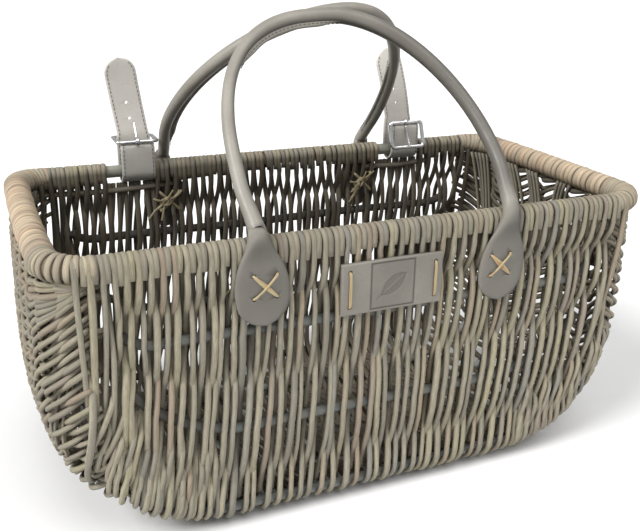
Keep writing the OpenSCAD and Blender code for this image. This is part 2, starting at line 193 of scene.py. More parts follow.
def make_camera():
    yaw, pitch, roll = math.radians(23.676), math.radians(20.832), math.radians(0.984)
    forward = Vector((math.sin(yaw) * math.cos(pitch), math.cos(yaw) * math.cos(pitch), -math.sin(pitch)))
    level = Vector((math.cos(yaw), -math.sin(yaw), 0))
    up = level.cross(forward)
    right = math.cos(roll) * level + math.sin(roll) * up
    top = -math.sin(roll) * level + math.cos(roll) * up
    data = bpy.data.cameras.new("camera")
    data.sensor_fit = "HORIZONTAL"
    data.sensor_width = 36
    data.lens = 47.24
    data.clip_start = 0.01
    camera = bpy.data.objects.new("camera", data)
    scene.collection.objects.link(camera)
    turn = Matrix((right, top, -forward)).transposed().to_4x4()
    camera.matrix_world = Matrix.Translation((-0.2563, -0.5852, 0.3861)) @ turn
    scene.camera = camera


def sun(name, direction, strength, angle):
    data = bpy.data.lights.new(name, "SUN")
    data.energy = strength
    data.angle = math.radians(angle)
    obj = bpy.data.objects.new(name, data)
    scene.collection.objects.link(obj)
    obj.location = Vector(direction) * 2
    obj.rotation_euler = Vector(direction).to_track_quat("Z", "Y").to_euler()


def make_studio():
    scene.view_settings.view_transform = "Standard"
    world = bpy.data.worlds.new("studio")
    scene.world = world
    world.use_nodes = True
    back = world.node_tree.nodes["Background"]
    back.inputs["Color"].default_value = (1.0, 1.0, 1.0, 1)
    back.inputs["Strength"].default_value = 0.42
    sun("key", (-1.0, -0.25, 0.95), 2.9, 28)
    sun("top", (0.15, -0.45, 1.0), 1.5, 45)
    mesh = bpy.data.meshes.new("floor")
    reach = 30.0
    mesh.from_pydata([(-reach, -reach, 0), (reach, -reach, 0), (reach, reach, 0), (-reach, reach, 0)],
                     [], [(0, 1, 2, 3)])
    floor = bpy.data.objects.new("floor", mesh)
    scene.collection.objects.link(floor)
    floor.location.z = -0.0006
    mat = bpy.data.materials.new("pale_floor")
    mat.use_nodes = True
    shader = mat.node_tree.nodes["Principled BSDF"]
    shader.inputs["Base Color"].default_value = (0.85, 0.85, 0.85, 1)
    shader.inputs["Roughness"].default_value = 0.9
    shader.inputs["Specular IOR Level"].default_value = 0.0
    mesh.materials.append(mat)


# ---- materials ----

class Graph:
    """Short calls for building a material's nodes."""

    def __init__(self, name):
        self.material = bpy.data.materials.new(name)
        self.material.use_nodes = True
        self.tree = self.material.node_tree
        self.shader = self.tree.nodes["Principled BSDF"]

    def node(self, kind, **values):
        n = self.tree.nodes.new(kind)
        for key, value in values.items():
            if hasattr(n, key):
                setattr(n, key, value)
            else:
                n.inputs[key.replace("_", " ").title()].default_value = value
        return n

    def link(self, a, b):
        self.tree.links.new(a, b)

    def attribute(self, name, vector=False):
        n = self.node("ShaderNodeAttribute", attribute_name=name)
        return n.outputs["Vector" if vector else "Fac"]

    def place(self):
        return self.node("ShaderNodeTexCoord").outputs["Object"]

    def noise(self, vector, scale, detail=3.0, stretch=None):
        if stretch:
            m = self.node("ShaderNodeMapping")
            m.inputs["Scale"].default_value = stretch
            self.link(vector, m.inputs["Vector"])
            vector = m.outputs["Vector"]
        n = self.node("ShaderNodeTexNoise")
        n.inputs["Scale"].default_value = scale
        n.inputs["Detail"].default_value = detail
        self.link(vector, n.inputs["Vector"])
        return n.outputs["Fac"]

    def ramp(self, fac, stops):
        n = self.node("ShaderNodeValToRGB")
        while len(n.color_ramp.elements) < len(stops):
            n.color_ramp.elements.new(0.5)
        for e, (at, colour) in zip(n.color_ramp.elements, stops):
            e.position = at
            e.color = (*colour, 1) if len(colour) == 3 else colour
        self.link(fac, n.inputs["Fac"])
        return n.outputs["Color"]

    def span(self, fac, low, high, out_low, out_high):
        n = self.node("ShaderNodeMapRange")
        for key, value in (("From Min", low), ("From Max", high), ("To Min", out_low), ("To Max", out_high)):
            n.inputs[key].default_value = value
        self.link(fac, n.inputs["Value"])
        return n.outputs["Result"]

    def mix(self, fac, a, b, blend="MIX"):
        n = self.node("ShaderNodeMix", data_type="RGBA", blend_type=blend)
        fac_in, a_in, b_in = n.inputs[0], n.inputs[6], n.inputs[7]
        for socket, value in ((fac_in, fac), (a_in, a), (b_in, b)):
            if isinstance(value, bpy.types.NodeSocket):
                self.link(value, socket)
            elif isinstance(value, tuple):
                socket.default_value = (*value, 1)
            else:
                socket.default_value = value
        return n.outputs[2]

    def colour(self, socket):
        self.link(socket, self.shader.inputs["Base Color"])

    def rough(self, socket):
        self.link(socket, self.shader.inputs["Roughness"])

    def bump(self, height, strength, distance):
        n = self.node("ShaderNodeBump")
        n.inputs["Strength"].default_value = strength
        n.inputs["Distance"].default_value = distance
        self.link(height, n.inputs["Height"])
        self.link(n.outputs["Normal"], self.shader.inputs["Normal"])


def willow_material(name, stops, dark=(0.040, 0.030, 0.019), streak=0.5):
    g = Graph(name)
    tone, grain = g.attribute("tone"), g.attribute("grain", True)
    base = g.ramp(tone, stops)
    fibre = g.noise(grain, 1.3, 5)
    patch = g.noise(grain, 0.16, 2)
    speck = g.noise(grain, 2.6, 2, (1, 1, 5))
    base = g.mix(g.span(patch, 0.42, 0.68, 0, 0.5), base, (0.31, 0.285, 0.225))
    base = g.mix(g.span(fibre, 0.36, 0.66, streak, 0), base, (0.17, 0.145, 0.105))
    base = g.mix(g.span(speck, 0.66, 0.74, 0, 0.7), base, (0.09, 0.07, 0.05))
    # painted shade: the shade attribute mixes the colour toward the dark shade colour
    base = g.mix(g.attribute("shade"), base, dark)
    g.colour(base)
    g.rough(g.span(fibre, 0.3, 0.7, 0.62, 0.86))
    g.bump(fibre, 0.55, 0.0006)
    g.shader.inputs["Specular IOR Level"].default_value = 0.35
    return g.material


def rod_node_material(name, light, dark):
    """Bark material for CAD rods, which carry no attributes: grain is stretched along X."""
    g = Graph(name)
    place = g.place()
    fibre = g.noise(place, 420, 5, (0.12, 1, 1))
    patch = g.noise(place, 22, 3)
    base = g.mix(g.span(fibre, 0.35, 0.65, 0, 1), dark, light)
    base = g.mix(g.span(patch, 0.45, 0.7, 0, 0.6), base, (0.26, 0.24, 0.19))
    g.colour(base)
    g.rough(g.span(fibre, 0.3, 0.7, 0.6, 0.85))
    g.bump(fibre, 0.5, 0.0005)
    return g.material


def leather_material(name, light, dark, grain_scale=1500, rough=(0.42, 0.58)):
    g = Graph(name)
    place = g.place()
    cell = g.node("ShaderNodeTexVoronoi")
    cell.inputs["Scale"].default_value = grain_scale
    g.link(place, cell.inputs["Vector"])
    fine = g.noise(place, grain_scale * 0.6, 4)
    wear = g.noise(place, 38, 4)
    crease = g.noise(place, 160, 3)
    base = g.mix(g.span(wear, 0.35, 0.68, 0, 1), dark, light)
    base = g.mix(g.span(fine, 0.4, 0.62, 0.22, 0), base, tuple(0.72 * c for c in dark))
    # painted shade: the shade attribute mixes the leather toward near-black
    base = g.mix(g.attribute("shade"), base, (0.05, 0.045, 0.038))
    g.colour(base)
    g.rough(g.span(crease, 0.3, 0.7, *rough))
    height = g.node("ShaderNodeMath", operation="ADD")
    g.link(g.span(cell.outputs["Distance"], 0, 0.6, 0, 0.7), height.inputs[0])
    g.link(crease, height.inputs[1])
    g.bump(height.outputs[0], 0.22, 0.0003)
    return g.material


def metal_material():
    g = Graph("polished_nickel")
    place = g.place()
    scratch = g.noise(place, 900, 4, (1, 0.1, 1))
    cloud = g.noise(place, 120, 3)
    g.colour(g.mix(g.span(cloud, 0.4, 0.65, 0, 1), (0.70, 0.70, 0.71), (0.86, 0.86, 0.87)))
    g.rough(g.span(scratch, 0.3, 0.7, 0.1, 0.24))
    g.bump(scratch, 0.08, 0.0002)
    g.shader.inputs["Metallic"].default_value = 1.0
    return g.material


ROD_STOPS = [(0.0, (0.22, 0.21, 0.18)), (0.15, (0.33, 0.30, 0.23)), (0.35, (0.41, 0.37, 0.27)),
             (0.52, (0.30, 0.28, 0.225)), (0.68, (0.42, 0.385, 0.255)), (0.82, (0.35, 0.275, 0.205)),
             (0.92, (0.27, 0.27, 0.245)), (1.0, (0.37, 0.34, 0.27))]
CANE_STOPS = [(0.0, (0.57, 0.44, 0.30)), (0.2, (0.66, 0.52, 0.36)), (0.38, (0.53, 0.42, 0.30)),
              (0.5, (0.60, 0.43, 0.29)), (0.62, (0.42, 0.29, 0.20)), (0.72, (0.36, 0.30, 0.22)),
              (0.85, (0.45, 0.39, 0.28)), (1.0, (0.31, 0.265, 0.20))]
STRAW_STOPS = [(0.0, (0.46, 0.38, 0.19)), (0.5, (0.58, 0.48, 0.26)), (0.8, (0.52, 0.33, 0.18)),
               (1.0, (0.36, 0.27, 0.14))]

make_camera()
make_studio()
WILLOW = willow_material("weathered_willow", ROD_STOPS)
CANE = willow_material("split_cane", CANE_STOPS, streak=0.3)
STRAW = willow_material("raffia", STRAW_STOPS, streak=0.25)
# a half-bright copy of the raffia: painted shade for the lacing on the back wall, seen from inside
SHADED_STRAW = willow_material("shaded_raffia", [(at, tuple(0.5 * c for c in rgb)) for at, rgb in STRAW_STOPS])
RIB = willow_material("blue_grey_rib", [(0.0, (0.21, 0.24, 0.245)), (0.5, (0.18, 0.205, 0.205)),
                                       (1.0, (0.24, 0.26, 0.25))], streak=0.45)
HOOP = rod_node_material("hoop_bark", (0.30, 0.30, 0.25), (0.19, 0.20, 0.17))
LEATHER = leather_material("taupe_leather", (0.250, 0.232, 0.198), (0.208, 0.193, 0.165))
STRAP_LEATHER = leather_material("strap_leather", (0.79, 0.755, 0.695), (0.69, 0.66, 0.605))
SMOOTH_LEATHER = leather_material("handle_leather", (0.315, 0.293, 0.252), (0.255, 0.237, 0.203),
                                  1800, (0.36, 0.5))
THREAD = leather_material("thread", (0.17, 0.16, 0.14), (0.12, 0.112, 0.10), 2500, (0.6, 0.8))
METAL = metal_material()


# ---- the basket's middle surface ----

def end_reach(z):
    """Half length of the middle surface at height z."""
    z = np.asarray(z, float)
    return np.where(z >= END_ROUND, MID_X,
                    FLAT_X + np.sqrt(np.maximum(MID_R ** 2 - (END_ROUND - z) ** 2, 0)))


def side_surface(x, z):
    """Depth of the middle surface at x, z, and the outward normal's x and y parts."""
    over = np.clip(np.abs(x) - (end_reach(z) - MID_CORNER), 0, MID_CORNER * 0.985)
    fall = np.sqrt(MID_CORNER ** 2 - over ** 2)
    return MID_Y - MID_CORNER + fall, np.sign(x) * over / MID_CORNER, fall / MID_CORNER


def floor_height(x):
    over = np.clip(abs(x) - FLAT_X, 0, MID_R * 0.98)
    return END_ROUND - math.sqrt(MID_R ** 2 - over ** 2)


def rib_heights(x):
    """Heights at which the upper and middle side ribs cross a rod at x."""
    found = []
    for half, low, bend in ((189.0, 150.0, 30.0), (200.0, 78.0, 105.0)):
        over = abs(x) - (half - bend)
        if over < 0:
            found.append(low)
        elif over < bend * 0.93:
            found.append(low + bend - math.sqrt(bend ** 2 - over ** 2))
    return found


def half_loop(x_top, x_low, bow):
    """One side of a rod's run, from the rim to the floor: points, normals and the rib anchors."""
    bottom = floor_height(x_low)
    top = 197.0
    z = np.linspace(top, bottom + EDGE_R, max(8, int((top - bottom) / 4)))
    t = (top - z) / (top - bottom)
    x = x_top + (x_low - x_top) * t ** 1.5 + bow * np.sin(math.pi * t)
    depth, nx, ny = side_surface(x, z)
    points = np.c_[x, -depth, z]
    normals = np.c_[nx, -ny, np.zeros_like(z)]
    turn = np.linspace(0, math.pi / 2, 8)[1:]
    over = np.clip((abs(x_low) - FLAT_X) / MID_R, 0, 0.95) * np.sign(x_low)
    down = np.array([over, 0, -math.sqrt(1 - over ** 2)])
    out = normals[-1]
    centre = points[-1] - out * EDGE_R
    arc_n = np.cos(turn)[:, None] * out + np.sin(turn)[:, None] * np.array([0, 0, -1.0])
    points = np.vstack([points, centre + arc_n * EDGE_R])
    normals = np.vstack([normals, unit(np.cos(turn)[:, None] * out + np.sin(turn)[:, None] * down)])
    anchors = [int(np.argmin(np.abs(z - h))) for h in rib_heights((x_top + x_low) / 2) if h > bottom + 24]
    return points, normals, anchors + [len(z) + 3]


def over_rim(side, x, first_inside, drop_first, drop_last, lean=0.0):
    """Points over the hoop, from the free end to the rod's way down."""
    reach = 6.35
    inner = side * (HOOP_Y - reach)
    outer = side * (HOOP_Y + reach)
    a, b = (inner, outer) if first_inside else (outer, inner)
    turn = np.linspace(0, math.pi, 9)
    y = side * HOOP_Y + (a - side * HOOP_Y) * np.cos(turn)
    z = RIM_Z + reach * np.sin(turn)
    head = np.array([[x - lean, a, RIM_Z - drop_first], [x - lean * 0.6, a, RIM_Z - drop_first / 2]])
    arch = np.c_[x + lean * (turn / math.pi - 0.5), y, z]
    tail = np.array([[x + lean * 0.6, b, RIM_Z - 4.0]])
    return np.vstack([head, arch, tail]) if drop_last else np.vstack([head, arch])


def in_gap(x):
    return any(a < x < b for a, b in BACK_GAPS)


def transverse_rod(strands, x_front, x_low, x_back, sign, radius, tone):
    """One rod from the front rim, under the floor and up to the back rim."""
    bow_f, bow_b = rng.normal(0, 1.2, 2)
    front, nf, af = half_loop(x_front, x_low, bow_f)
    back, nb, ab = half_loop(x_back, x_low, bow_b)
    flip = np.array([1, -1, 1])
    back, nb = (back * flip)[::-1], (nb * flip)[::-1]
    y0, y1 = front[-1, 1], back[0, 1]
    y = np.linspace(y0, y1, 30)[1:-1]
    floor_z = np.full_like(y, floor_height(x_low))
    middle = np.c_[np.full_like(y, x_low), y, floor_z]
    nm = np.repeat(nf[-1:], len(y), 0)
    points = np.vstack([front, middle, back])
    normals = np.vstack([nf, nm, nb])
    first = len(front)
    floor_at = [first + int(np.argmin(np.abs(y - r))) for r in (-55.0, 0.0, 55.0)]
    total = len(points)
    anchors = [0] + af + floor_at + [total - 1 - a for a in ab[::-1]] + [total - 1]
    s = np.r_[0, np.cumsum(np.linalg.norm(np.diff(points, axis=0), axis=1))]
    reach = RIB_R + radius * 0.95
    lift, side = [], sign
    for k, a in enumerate(anchors):
        at_rim = k in (0, len(anchors) - 1)
        lift.append((7.2 if side > 0 else -5.2) if at_rim else side * reach)
        side = -side
    if in_gap(x_back):
        # cut short below the hoop, in the middle of the wall, so that the straps can swing
        lift[-1] = 0.5
    zigzag = 1.5 * sign * np.where(np.arange(len(anchors)) % 2, 1, -1)
    sway = zigzag + rng.normal(0, 0.8, len(anchors)) + rng.normal(0, 0.7)
    sway[0] = sway[-1] = 0
    offset, drift = np.zeros(total), np.zeros(total)
    for k in range(len(anchors) - 1):
        a, b = anchors[k], anchors[k + 1]
        if b <= a:
            continue
        t = (s[a:b + 1] - s[a]) / max(s[b] - s[a], 1e-6)
        c = ease(ease(t) * 0.5 + t * 0.5)
        offset[a:b + 1] = lift[k] * (1 - c) + lift[k + 1] * c
        drift[a:b + 1] = sway[k] * (1 - t) + sway[k + 1] * t
    points = points + normals * offset[:, None]
    points[:, 0] += drift
    out_front, out_back = lift[0] > 0, lift[-1] > 0
    lean = rng.normal(0.8, 0.5)
    stub = rng.uniform(7, 11)
    head = over_rim(-1, points[0, 0], out_front, stub, True, lean)
    parts = [head, points]
    flat_head = len(head)
    flat_tail = 0
    if not in_gap(points[-1, 0]):
        tail = over_rim(1, points[-1, 0], out_back, rng.uniform(7, 11), True, -lean)[::-1]
        parts.append(tail)
        flat_tail = len(tail)
    path = np.vstack(parts)
    n = len(path)
    index = np.arange(n)
    to_head = np.clip((index - flat_head + 2) / 5.0, 0, 1)
    to_tail = np.clip((n - flat_tail - index + 1) / 5.0, 0, 1) if flat_tail else np.ones(n)
    roundness = np.minimum(to_head, to_tail)
    taper = 1 + 0.10 * np.sin(np.linspace(0, 5, n) + tone * 20)
    wide = radius * taper * roundness + (1 - roundness) * 2.35
    thick = radius * taper * roundness + (1 - roundness) * 1.35
    outward = np.vstack([np.tile((0.0, -0.35, 0.9), (flat_head, 1)), normals,
                         np.tile((0.0, 0.35, 0.9), (flat_tail, 1))])
    # painted shade: darker where a rod passes behind a rib, on the flat wraps over the rim, and on inner,
    # lower and side faces
    depth = np.r_[np.zeros(flat_head), np.clip(-offset / reach, 0, 1), np.zeros(flat_tail)]
    strands.add(path, wide, thick, (1, 0, 0), tone, 0.22 * depth + 0.13 * (1 - roundness),
                outward=outward, inner=0.72, under=0.25, edge=0.14 + 0.76 * (1 - roundness))


def transverse_rods():
    strands = Strands()
    x = -204.0
    places = []
    while x < 208:
        places.append(x)
        x += (7.1 + 2.1 * (x + 197) / 394) / 2
    for k, x in enumerate(places):
        sign = 1 if k % 2 == 0 else -1
        u = x / 197.0
        if u < 0:
            low = x * (1.17 - 0.135 * u * u) - 4 * (1 + u)
        else:
            low = x * (0.84 + 0.09 * u * u) - 4 * (1 - min(u, 1))
        low = max(low, -205.0)
        radius = rng.uniform(1.85, 2.4)
        tone = rng.random()
        transverse_rod(strands, x + rng.normal(0, 0.25), low, x + rng.normal(0, 0.5), sign, radius, tone)
    # short rods that fan out over the lower corners
    for side in (-1, 1):
        for k in range(30):
            share = (k + rng.uniform(-0.3, 0.3)) / 29.0
            toe = 209 - 84 * share
            if side < 0:
                heel = toe - 8 - 34 * (1 - share)
            else:
                toe = toe - 4
                heel = min(toe + 20, 209)
            points, normals, _ = half_loop(side * heel, side * toe, 0.0)
            high = floor_height(toe) + rng.uniform(44, 74)
            points, normals = points[points[:, 2] < high], normals[points[:, 2] < high]
            t = np.linspace(0, 1, len(points))
            weave = 2.4 * np.sin(t * 6 + k * math.pi)
            lift = (2.6 + weave) * ease(t / 0.25) - 5.0 * (1 - ease(t / 0.25)) - 3.0 * ease((t - 0.8) / 0.2)
            path = points + normals * lift[:, None]
            path[:, 0] += rng.normal(0, 1.0) * np.sin(t * 5)
            # painted shade on the inner, lower and side faces of the corner rods
            strands.add(path, 1.95, 1.85, (1, 0, 0), rng.random(), 0.0, outward=normals, inner=0.7,
                        under=0.3, edge=0.12)
    # a rod under the bare stretches of the back rim, darkened with painted shade as it lies under the rim
    for a, b in ((-205, -92), (88, 158)):
        path = spline([(a, 108, 193), ((a + b) / 2, 107, 191.5), (b, 108.5, 193)], 4)
        strands.add(path, 2.4, 2.4, (0, 0, 1), 0.1, 0.55)
    strands.build("woven_rods", WILLOW, "woven_willow", body_with("weave_front"),
                  ("weave_front", "weave_back", "weave_floor", "rim_binding_front",
                   "rim_binding_back_left", "rim_binding_back_middle", "rim_binding_back_right"))


# ---- the rounded ends ----
# how far the middle of an end bellies out, by height
BULGE_Z = (10, 28, 44, 57, 72, 87, 107, 177, 200)
BULGE = (3, 12, 18, 18, 13, 10, 7.5, 4, 1)

def end_surface(h, z, side):
    """Place and outward normal on an end, h along the way round from the middle of the end."""
    h, z = np.asarray(h, float), np.asarray(z, float)
    reach = end_reach(z)
    flat = MID_Y - MID_CORNER
    arc = MID_CORNER * math.pi / 2
    past = np.clip(np.abs(h) - flat, 0, arc) / MID_CORNER
    beyond = np.maximum(np.abs(h) - flat - arc, 0)
    sy = np.sign(h)
    bulge = np.interp(z, BULGE_Z, BULGE) * np.clip(1 - (h / 120.0) ** 2, 0, 1)
    x = reach - MID_CORNER + MID_CORNER * np.cos(past) - beyond + bulge
    y = np.where(np.abs(h) <= flat, h, sy * (flat + MID_CORNER * np.sin(past)))
    nx, ny = np.cos(past), sy * np.sin(past)
    nz = -np.clip((END_ROUND - z) / MID_R, 0, 0.97) * np.cos(past)
    return np.c_[side * x, y, z], unit(np.c_[side * nx, ny, nz])


# spacing of the uprights that the end courses pass, and how far a course swings in and out
COLUMN, WEAVE_DEPTH = 19.0, 4.2


def end_rods(side, name, node):
    strands = Strands()
    # heights down the end, evenly spaced along its profile
    profile, z = [], 197.0
    while z > 26:
        profile.append(z)
        slope = math.sqrt(max(1 - (max(END_ROUND - z, 0) / MID_R) ** 2, 0.05))
        z -= 4.1 * slope
    for k, z0 in enumerate(profile):
        sign = 1 if k % 2 else -1
        h = np.arange(-112 - rng.uniform(4, 20), 112 + rng.uniform(4, 20), 2.2)
        rise = min(64.0, 197 - z0, 24 + 0.7 * max(z0 - 28, 0)) * ease((np.abs(h) - 42) / 95)
        turn = h / COLUMN + 0.5 + rng.normal(0, 0.06)
        zig = 12.0 * (np.abs((turn % 2) - 1) - 0.5) * (1 - 0.85 * ease((np.abs(h) - 50) / 26))
        zz = z0 + rise + zig * np.clip((198 - z0 - rise) / 14, 0, 1) + rng.normal(0, 0.8)
        zz = np.minimum(zz, 199.0)
        place, normal = end_surface(h, zz, side)
        corner = ease((np.abs(h) - 88) / 20)
        offset = sign * WEAVE_DEPTH * np.cos(math.pi * (turn + 0.5)) * (1 - 0.5 * corner) - 0.6 * corner
        path = place + normal * offset[:, None]
        radius = rng.uniform(1.7, 2.2)
        # painted shade: courses darkened overall, more where they pass behind an upright, and on inner and
        # lower sides
        strands.add(path, radius, radius * 0.9, (0, 0, 1), rng.random(),
                    0.13 + 0.16 * np.clip(-offset / WEAVE_DEPTH, 0, 1), outward=normal,
                    inner=0.42, under=0.4)
    # thin bundles that come down from the rim in a V
    for h0, h1, drop, count in ((-72, -44, 92, 6), (58, 30, 84, 6), (-24, -4, 70, 4), (22, 6, 74, 4),
                                (-108, -84, 110, 5), (104, 82, 100, 5)):
        for k in range(count):
            shift = (k - count / 2) * 5.0
            top = np.array([h0 + shift, 199.0])
            low = np.array([h1 + shift * 0.8 + rng.normal(0, 1.2), 199.0 - drop - rng.uniform(0, 18)])
            t = np.linspace(0, 1, 16)
            h = top[0] + (low[0] - top[0]) * t ** 0.8
            zz = top[1] + (low[1] - top[1]) * t
            place, normal = end_surface(h, zz, side)
            offset = -6.2 + rng.uniform(-0.8, 0.8) + 9.5 * ease((t - 0.5) / 0.5)
            path = place + normal * offset[:, None]
            # painted shade on each bundle rod's two sides and lower side
            strands.add(path, rng.uniform(1.4, 1.8), 1.6, (0, 1, 0), rng.random(), 0.1,
                        outward=normal, inner=0.05, under=0.2, edge=0.75)
    strands.build(name, WILLOW, "woven_willow", body_with(node), (node,))


def rim_end_path():
    """Centreline of one end of the rim, +X side, from the front straight to the back."""
    pts = [(x, -HOOP_Y) for x in np.linspace(STRAIGHT_X - 2, STRAIGHT_X, 2)]
    pts += [(STRAIGHT_X + CORNER * math.sin(a), -STRAIGHT_Y - CORNER * math.cos(a))
            for a in np.linspace(0, math.pi / 2, 14)[1:]]
    pts += [(HOOP_X + 1.6 * (1 - (y / STRAIGHT_Y) ** 2), y)
            for y in np.linspace(-STRAIGHT_Y, STRAIGHT_Y, 40)[1:-1]]
    pts += [(STRAIGHT_X + CORNER * math.cos(a), STRAIGHT_Y + CORNER * math.sin(a))
            for a in np.linspace(0, math.pi / 2, 14)]
    pts += [(x, HOOP_Y) for x in np.linspace(STRAIGHT_X, STRAIGHT_X - 2, 2)[1:]]
    return np.array([(x, y, RIM_Z) for x, y in pts])


def end_binding(side, name, node):
    strands = Strands()
    path = rim_end_path()
    path[:, 0] *= side
    seg = np.linalg.norm(np.diff(path, axis=0), axis=1)
    s = np.r_[0, np.cumsum(seg)]
    total = s[-1]
    tangent = unit(np.gradient(path, axis=0))
    # an inner layer, seen only in the seams, darkened with painted shade
    grow = np.minimum(s, total - s)
    thick = 6.4 + 1.4 * ease(grow / 30)
    strands.add(path, thick, thick, (0, 0, 1), 0.05, 0.75, sides=20)
    at = 1.5
    while at < total - 1:
        c = np.array([np.interp(at, s, path[:, k]) for k in range(3)])
        t = unit(np.array([np.interp(at, s, tangent[:, k]) for k in range(3)]))
        outer = np.cross(t, (0, 0, 1.0))
        up = np.cross(outer, t)
        near = min(at, total - at)
        corner = 1 - ease((near - 38) / 22)
        r = 6.5 + 1.6 * ease(near / 30) + rng.uniform(-0.25, 0.3)
        tilt = rng.normal(0.16, 0.08)
        turn = np.linspace(0, 2 * math.pi, 28, endpoint=False)
        ring = (c + r * np.cos(turn)[:, None] * outer + r * np.sin(turn)[:, None] * up
                + (r * tilt * np.cos(turn + 0.6))[:, None] * t)
        half = rng.uniform(2.5, 3.5) * (1 - 0.3 * corner)
        tone = rng.uniform(0.0, 0.68) * (1 - corner) + rng.uniform(0.66, 1.0) * corner
        # painted shade on each wrap's lower half and on its two sides, so the seams read dark
        strands.add(ring, half, 1.4, t, tone, 0.55 * ease(-np.sin(turn)), sides=8, square=2.3,
                    closed=True, edge=0.6)
        at += half * rng.uniform(1.8, 2.0)
    strands.build(name, CANE, "cane_binding", body_with(node), (node,))


transverse_rods()
end_rods(-1, "left_end_rods", "weave_left_end")
end_rods(1, "right_end_rods", "weave_right_end")
end_binding(-1, "left_end_wraps", "rim_binding_left_end")
end_binding(1, "right_end_wraps", "rim_binding_right_end")


# ---- lengthwise ribs: level, bent up at both ends, which are tucked into the weave ----

def ribs():
    strands = Strands()
    for y, low, half, bend, share in ((109.5, 150, 189, 30, 0.5), (109.5, 78, 200, 105, 0.56),
                                      (105.9, 12, 218, 106, 0.42)):
        turn = np.linspace(0, share * math.pi / 2, 14)[1:]
        flat = half - bend
        right = np.c_[flat + bend * np.sin(turn), low + bend * (1 - np.cos(turn))]
        level = np.c_[np.linspace(-flat, flat, 60), np.full(60, low)]
        run = np.vstack([right[::-1] * (-1, 1), level, right])
        for side in (-1, 1):
            sink = 3.0 * ease((np.abs(run[:, 0]) - flat) / (bend * 0.8))
            wave = 0.5 * np.sin(run[:, 0] / 31.0 + low)
            path = np.c_[run[:, 0], side * (y - sink), run[:, 1] + wave]
            outward = np.tile((0.0, side * 1.0, 0.0), (len(path), 1))
            # painted shade: ribs darker where their ends tuck into the weave, and on their inner and lower
            # sides
            fade = ease((np.abs(run[:, 0]) - flat) / (bend * 0.6))
            strands.add(path, RIB_R, RIB_R, (0, 0, 1), rng.random(), 0.1 + 0.5 * fade, sides=14,
                        outward=outward, inner=0.6, under=0.3)
    for y in (-55.0, 0.0, 55.0):
        turn = np.linspace(0, 0.6 * math.pi / 2, 16)[1:]
        right = np.c_[FLAT_X + MID_R * np.sin(turn), END_ROUND - MID_R * np.cos(turn)]
        level = np.c_[np.linspace(-FLAT_X, FLAT_X, 50), np.full(50, FLOOR_MID)]
        run = np.vstack([right[::-1] * (-1, 1), level, right])
        path = np.c_[run[:, 0], np.full(len(run), y), run[:, 1]]
        # painted shade: floor ribs slightly darkened all over
        strands.add(path, RIB_R, RIB_R, (0, 1, 0), rng.random(), 0.12, sides=14)
    strands.build("lengthwise_ribs", RIB, "willow_ribs", body_with("rib_front_upper"),
                  ("rib_front_upper", "rib_front_middle", "rib_front_lower", "rib_back_upper",
                   "rib_back_middle", "rib_back_lower", "rib_floor_front", "rib_floor_middle",
                   "rib_floor_back"))


ribs()


# ---- the CAD hoop stays, with a bark material ----

def keep(node, material):
    mesh = frame["nodes"][node].data
    mesh.materials.clear()
    mesh.materials.append(material)


keep("rim_hoop", HOOP)


# ---- leather lofts ----

def loft(stations, sides=20):
    """Closed mesh through sections. A station is place, width direction, thickness direction,
    left and right half widths, half thickness and squareness."""
    co, faces = [], []
    turn = np.linspace(0, 2 * math.pi, sides, endpoint=False)
    for place, w, m, left, right, thick, square in stations:
        c, s = np.cos(turn), np.sin(turn)
        power = 2.0 / square
        cc = np.sign(c) * np.abs(c) ** power
        ss = np.sign(s) * np.abs(s) ** power
        a = np.where(cc > 0, right, left)
        co.append(np.asarray(place) + (a * cc)[:, None] * np.asarray(w)
                  + (thick * ss)[:, None] * np.asarray(m))
    n = len(stations)
    for i in range(n - 1):
        for k in range(sides):
            k2 = (k + 1) % sides
            faces.append((i * sides + k, i * sides + k2, (i + 1) * sides + k2, (i + 1) * sides + k))
    faces.append(tuple(range(sides))[::-1])
    faces.append(tuple((n - 1) * sides + k for k in range(sides)))
    return np.vstack(co), faces


def mesh_from(name, co, faces, smooth=True):
    mesh = bpy.data.meshes.new(name)
    mesh.from_pydata((np.asarray(co) * 0.001).tolist(), [], [tuple(map(int, f)) for f in faces])
    mesh.polygons.foreach_set("use_smooth", [smooth] * len(faces))
    return mesh


def punch(obj, cutters):
    """Cuts round holes through obj. A cutter is place, direction, radius and length, in mm."""
    for place, direction, radius, length in cutters:
        bm = bmesh.new()
        bmesh.ops.create_cone(bm, cap_ends=True, segments=16, radius1=radius * 0.001,
                              radius2=radius * 0.001, depth=length * 0.001)
        mesh = bpy.data.meshes.new("punch")
        bm.to_mesh(mesh)
        bm.free()
        tool = bpy.data.objects.new("punch", mesh)
        scene.collection.objects.link(tool)
        tool.matrix_world = (Matrix.Translation(Vector(place) * 0.001)
                             @ Vector(direction).to_track_quat("Z", "Y").to_matrix().to_4x4())
        cut = obj.modifiers.new("hole", "BOOLEAN")
        cut.object = tool
        cut.solver = "EXACT"
        bpy.context.view_layer.update()
        result = bpy.data.meshes.new_from_object(obj.evaluated_get(bpy.context.evaluated_depsgraph_get()))
        obj.modifiers.remove(cut)
        if len(result.vertices) > 8:
            obj.data = result
        bpy.data.objects.remove(tool)
    bm = bmesh.new()
    bm.from_mesh(obj.data)
    for line in bm.edges:
        line.smooth = line.calc_face_angle(0) < 0.75
    bm.to_mesh(obj.data)
    bm.free()


